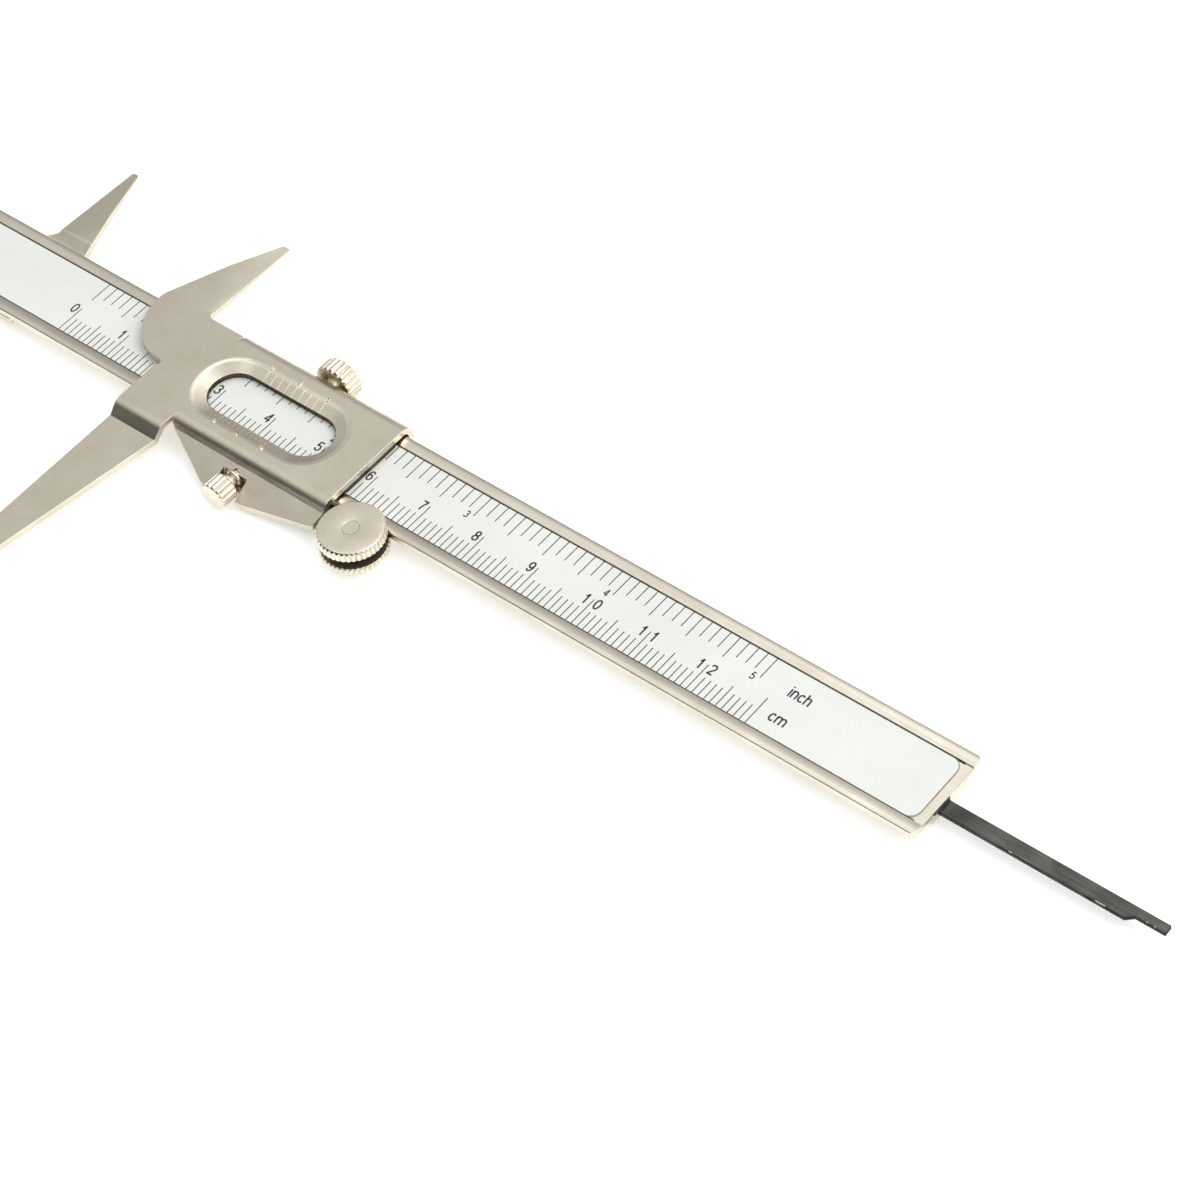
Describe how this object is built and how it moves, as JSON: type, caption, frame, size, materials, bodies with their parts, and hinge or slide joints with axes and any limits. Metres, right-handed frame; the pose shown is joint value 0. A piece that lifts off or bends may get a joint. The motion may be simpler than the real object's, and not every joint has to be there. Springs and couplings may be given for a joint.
{
  "type": "vernier caliper",
  "caption": "Slim pressed-steel vernier caliper with outside and inside jaws, a dished reading window, a depth rod, a roller thumb wheel and lock screws.",
  "frame": {"origin": "on the back of the fixed head, in the plane of the fixed jaw's measuring face and on the beam's centre line", "axes": "+X along the beam towards its free end, +Y towards the inside jaws, +Z out of the scale's face"},
  "size_m": [0.22, 0.0733, 0.0068],
  "materials": {
    "beam_nickel": "rolled, nickel plated",
    "sheet_nickel": "pressed, satin nickel plated",
    "turned_nickel": "turned and knurled, nickel plated",
    "rivet_steel": "headed and filed flush",
    "inner_steel": "plain rolled",
    "blued_steel": "heat darkened, sheared edges",
    "label": "white film with printed scales"
  },
  "bodies": {
    "beam": {"beam_strip": "beam_nickel", "scale_label": "label", "fixed_jaw_plate": "sheet_nickel", "head_rivet_1": "rivet_steel", "head_rivet_2": "rivet_steel", "head_rivet_3": "rivet_steel", "head_rivet_4": "rivet_steel"},
    "slider": {"slider_plate": "sheet_nickel", "guide_plate": "inner_steel", "back_plate": "sheet_nickel", "lip_rivet_1": "rivet_steel", "lip_rivet_2": "rivet_steel", "lip_rivet_3": "rivet_steel", "depth_rod": "blued_steel", "rod_rivet_1": "rivet_steel", "rod_rivet_2": "rivet_steel", "gib_spring": "inner_steel", "wheel_axle": "turned_nickel"},
    "thumb_wheel": {"thumb_wheel": "turned_nickel"},
    "upper_lock_screw": {"upper_lock_screw": "turned_nickel"},
    "lower_lock_screw": {"lower_lock_screw": "turned_nickel"}
  },
  "joints": [
    {"name": "slider_slide", "type": "slide", "parent": "beam", "child": "slider", "axis": [1, 0, 0], "range_m": [-0.03395, 0.093]},
    {"name": "thumb_wheel_spin", "type": "hinge", "parent": "slider", "child": "thumb_wheel", "pos_m": [0.0798, -0.011, 0.002], "axis": [0, 0, 1], "range_deg": [-589.5, 1614.8]},
    {"name": "upper_lock_screw_turn", "type": "hinge", "parent": "slider", "child": "upper_lock_screw", "pos_m": [0.0574, 0.0093, 0.0016], "axis": [0, 1, 0], "range_deg": [-30, 720]},
    {"name": "lower_lock_screw_turn", "type": "hinge", "parent": "slider", "child": "lower_lock_screw", "pos_m": [0.0572, -0.0134, 0.0013], "axis": [0, -1, 0], "range_deg": [-30, 720]}
  ],
  "couplings": [
    {"joint": "thumb_wheel_spin", "follows": "slider_slide", "rad_per_m": 303.03}
  ]
}
